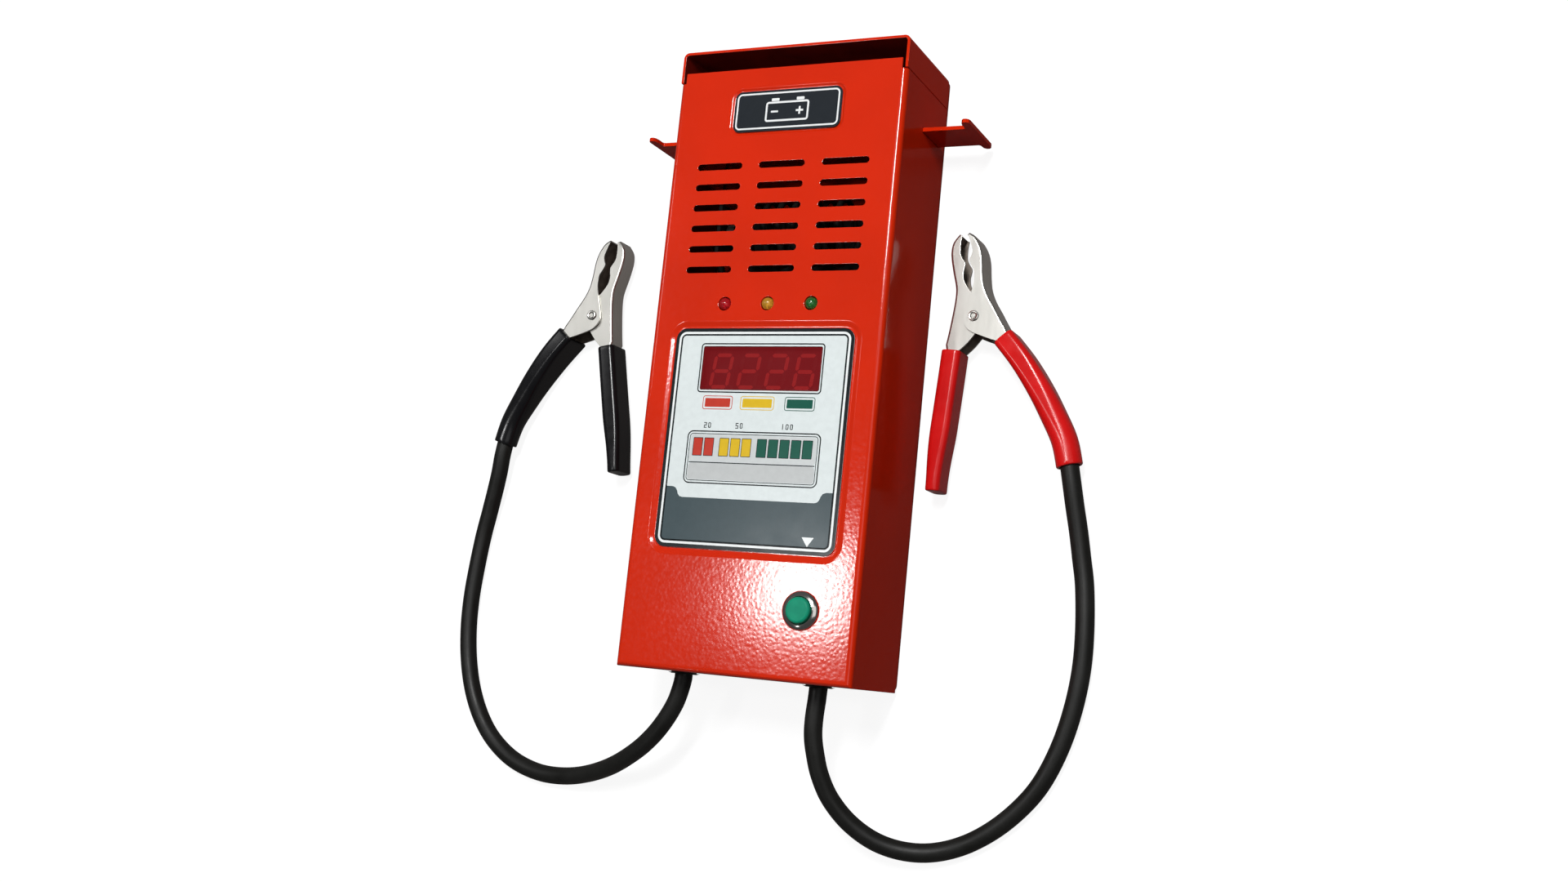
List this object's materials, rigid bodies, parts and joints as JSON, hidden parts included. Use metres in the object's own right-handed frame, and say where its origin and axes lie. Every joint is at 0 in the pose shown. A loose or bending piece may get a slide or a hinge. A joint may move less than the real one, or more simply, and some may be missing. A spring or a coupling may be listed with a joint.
{
  "type": "battery tester",
  "caption": "Hand-held battery load tester: folded metal case with display, lamps, push button and vents, and two leads ending in spring clamps.",
  "frame": {"origin": "centre of the rear cover's outer face, on the table that the tester lies on", "axes": "+X across the case to the red clamp's side, +Y along the case towards the lid, +Z out of the front panel"},
  "size_m": [0.2844, 0.3138, 0.0521],
  "materials": {
    "red_powder_coat": "fine textured powder coat",
    "bright_steel": "zinc or nickel plated steel",
    "spring_steel": "plain spring wire",
    "clamp_nickel": "satin nickel on pressed steel",
    "black_vinyl": "dipped glossy vinyl",
    "red_vinyl": "dipped glossy vinyl",
    "cable_rubber": "satin black rubber",
    "red_insulation": "red wire insulation",
    "label_film": "printed pale film",
    "badge_film": "printed dark plate",
    "red_filter": "dark red tinted pane",
    "display_black": "filled epoxy face",
    "board_green": "glass laminate with green mask",
    "dark_plastic": "moulded black plastic",
    "block_plastic": "moulded brown phenolic",
    "lamp_red": "clear tinted epoxy",
    "lamp_yellow": "clear tinted epoxy",
    "lamp_green": "clear tinted epoxy",
    "button_green": "moulded green plastic",
    "bezel_chrome": "polished chrome",
    "copper": "bare copper",
    "coil_wire": "oxidised resistance wire",
    "bracket_steel": "plated steel strip",
    "bushing_ceramic": "unglazed ceramic"
  },
  "bodies": {
    "tester": {"board_screw_1": "bright_steel", "board_screw_2": "bright_steel", "bracket_screw": "bright_steel", "button_bezel": "bezel_chrome", "button_nut": "bright_steel", "button_spring": "spring_steel", "cable_lug_left": "copper", "cable_lug_right": "copper", "circuit_board": "board_green", "clamp_holder_left": "red_powder_coat", "clamp_holder_right": "red_powder_coat", "clamp_jaw_left": "clamp_nickel", "clamp_jaw_right": "clamp_nickel", "clamp_rivet_left": "clamp_nickel", "clamp_rivet_right": "clamp_nickel", "clamp_sleeve_left": "black_vinyl", "clamp_sleeve_right": "red_vinyl", "clamp_spring_left": "spring_steel", "clamp_spring_right": "spring_steel", "coil_bracket": "bracket_steel", "coil_bushing_left": "bushing_ceramic", "coil_bushing_right": "bushing_ceramic", "controller_chip": "dark_plastic", "cover_screw_1": "bright_steel", "cover_screw_2": "bright_steel", "cover_screw_3": "bright_steel", "cover_screw_4": "bright_steel", "cover_screw_5": "bright_steel", "cover_screw_6": "bright_steel", "display_module": "display_black", "display_window": "red_filter", "face_label": "label_film", "front_case": "red_powder_coat", "grommet_left": "cable_rubber", "grommet_right": "cable_rubber", "lamp_green": "lamp_green", "lamp_red": "lamp_red", "lamp_yellow": "lamp_yellow", "lead_left": "cable_rubber", "lead_right": "cable_rubber", "lead_tail_left": "cable_rubber", "lead_tail_right": "cable_rubber", "load_coil": "coil_wire", "load_relay": "dark_plastic", "load_wire_left": "cable_rubber", "load_wire_right": "cable_rubber", "name_badge": "badge_film", "rear_cover": "red_powder_coat", "relay_screw": "bright_steel", "relay_wire": "red_insulation", "switch_housing": "dark_plastic", "terminal_block": "block_plastic", "terminal_bolt_left": "bright_steel", "terminal_bolt_right": "bright_steel", "top_cap": "red_powder_coat"},
    "button": {"button_cap": "button_green"},
    "left_lever": {"clamp_lever_left": "clamp_nickel", "lever_sleeve_left": "black_vinyl"},
    "right_lever": {"clamp_lever_right": "clamp_nickel", "lever_sleeve_right": "red_vinyl"}
  },
  "joints": [
    {"name": "button_press", "type": "slide", "parent": "tester", "child": "button", "axis": [0, 0, -1], "range_m": [0, 0.0025], "stiffness_N_per_m": 400, "springref_m": -0.001, "deforming": ["button_spring"]},
    {"name": "left_clamp_open", "type": "hinge", "parent": "tester", "child": "left_lever", "pos_m": [-0.1022, 0.0235, 0.0079], "axis": [0, 0, -1], "range_deg": [0, 22], "stiffness_Nm_per_rad": 0.6, "springref_deg": -22.92, "deforming": ["clamp_spring_left"]},
    {"name": "right_clamp_open", "type": "hinge", "parent": "tester", "child": "right_lever", "pos_m": [0.0731, 0.0223, 0.0079], "axis": [0, 0, 1], "range_deg": [0, 22], "stiffness_Nm_per_rad": 0.6, "springref_deg": -22.92, "deforming": ["clamp_spring_right"]}
  ]
}
